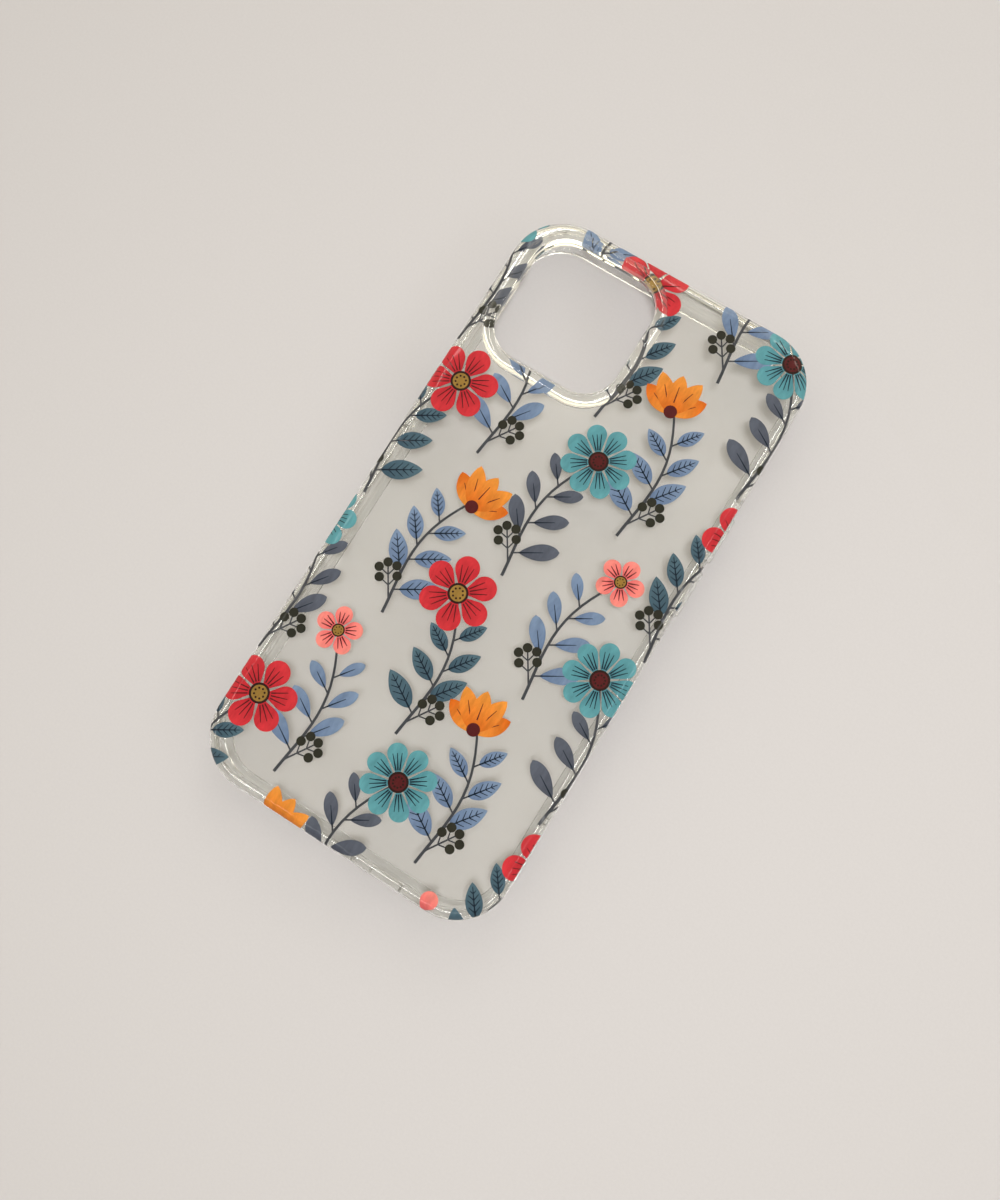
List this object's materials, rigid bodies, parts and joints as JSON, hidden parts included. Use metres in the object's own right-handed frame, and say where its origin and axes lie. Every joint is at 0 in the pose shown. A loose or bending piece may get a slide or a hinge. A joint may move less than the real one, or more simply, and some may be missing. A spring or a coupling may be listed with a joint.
{
  "type": "phone case",
  "caption": "Clear hybrid phone case with a soft bumper, rigid back, floral printed film, raised camera guard ring and sprung side buttons.",
  "frame": {"origin": "middle of the front rim's resting plane, under the middle of the case", "axes": "+Z out of the back, +Y to the camera end, +X to the volume buttons' side"},
  "size_m": [0.0776, 0.1512, 0.0124],
  "materials": {
    "soft_clear": "glossy soft clear plastic",
    "hard_clear": "glossy hard clear plastic",
    "print": "clear film with an opaque floral print"
  },
  "bodies": {
    "case": {"bumper_frame": "soft_clear", "back_plate": "hard_clear", "printed_film": "print", "camera_guard": "hard_clear"},
    "volume_up": {"volume_up_button": "soft_clear"},
    "volume_down": {"volume_down_button": "soft_clear"},
    "side": {"side_button": "soft_clear"}
  },
  "joints": [
    {"name": "volume_up_press", "type": "slide", "parent": "case", "child": "volume_up", "axis": [-1, 0, 0], "range_m": [0, 0.0004], "stiffness_N_per_m": 2000},
    {"name": "volume_down_press", "type": "slide", "parent": "case", "child": "volume_down", "axis": [-1, 0, 0], "range_m": [0, 0.0004], "stiffness_N_per_m": 2000},
    {"name": "side_press", "type": "slide", "parent": "case", "child": "side", "axis": [1, 0, 0], "range_m": [0, 0.0004], "stiffness_N_per_m": 2000}
  ]
}
